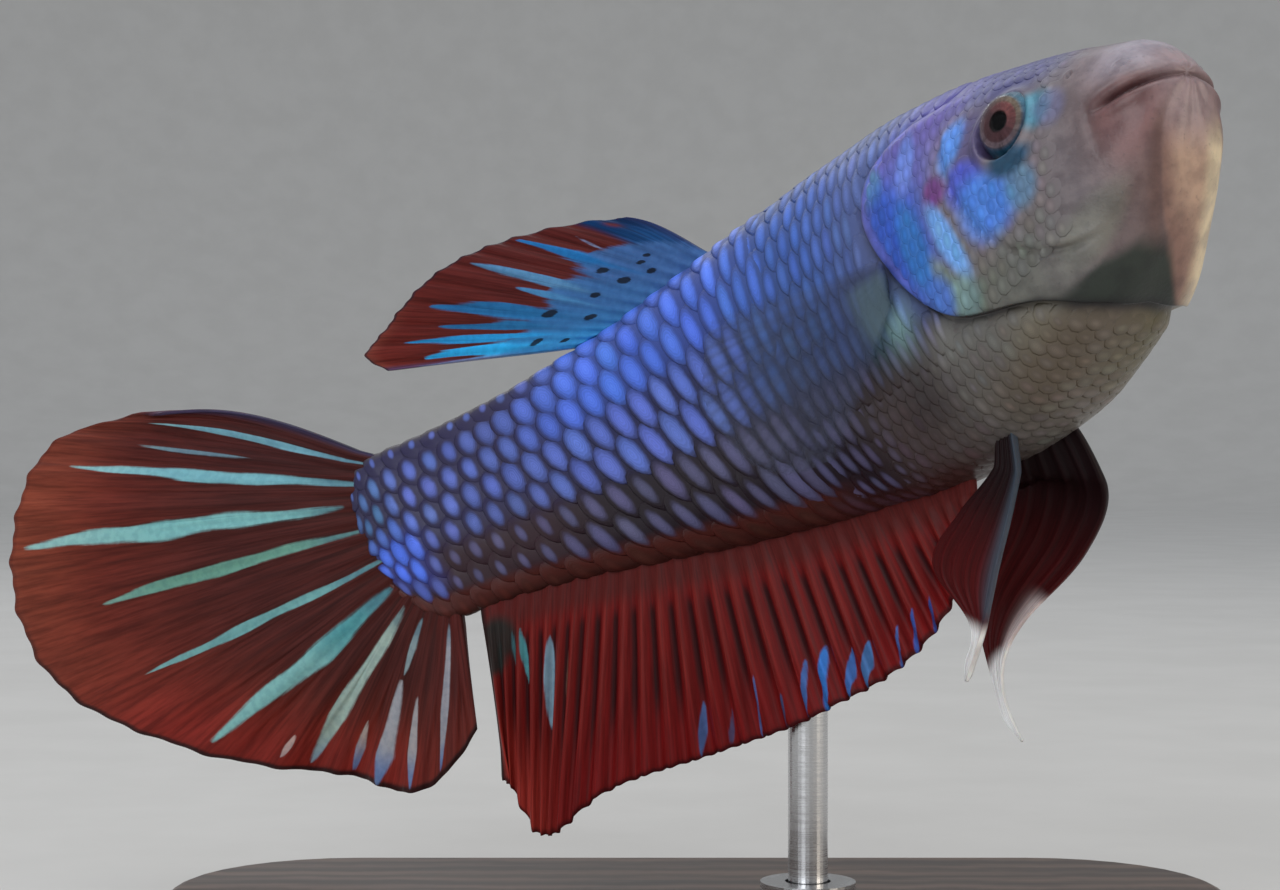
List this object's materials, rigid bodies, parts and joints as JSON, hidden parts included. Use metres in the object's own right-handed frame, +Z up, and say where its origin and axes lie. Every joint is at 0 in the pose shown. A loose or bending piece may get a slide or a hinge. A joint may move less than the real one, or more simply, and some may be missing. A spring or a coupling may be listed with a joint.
{
  "type": "betta fish model on a display stand",
  "caption": "Short-finned betta fish, life size, turning and rising with fins spread, held by a rod above a flat base.",
  "frame": {"origin": "centre of the underside of the stand's base", "axes": "+Z up; +X along the base's long side towards the fish's head; the fish's right side faces -Y"},
  "size_m": [0.0678, 0.0452, 0.0448],
  "materials": {
    "head_skin": "smooth moist skin, violet above, grey-brown below",
    "gill_cover": "iridescent blue plate",
    "scales": "overlapping iridescent blue scales with dark gaps",
    "eye": "clear wet cornea over a brown iris",
    "fin_membrane": "thin red membrane with turquoise rays",
    "clear_fin": "thin, nearly clear membrane",
    "stand_wood": "dark stained, satin",
    "stand_steel": "satin"
  },
  "bodies": {
    "root": {"head": "head_skin", "lower_jaw": "head_skin", "throat": "head_skin", "gill_cover_right": "gill_cover", "gill_cover_left": "gill_cover", "eye_right": "eye", "eye_left": "eye", "trunk_front": "scales", "trunk_rear": "scales", "tail_stock": "scales", "dorsal_fin": "fin_membrane", "anal_fin": "fin_membrane", "caudal_fin": "fin_membrane", "pectoral_fin_right": "clear_fin", "pectoral_fin_left": "clear_fin", "pelvic_fin_right": "fin_membrane", "pelvic_fin_left": "fin_membrane", "stand_base": "stand_wood", "stand_rod": "stand_steel", "stand_collar": "stand_steel"}
  },
  "joints": []
}
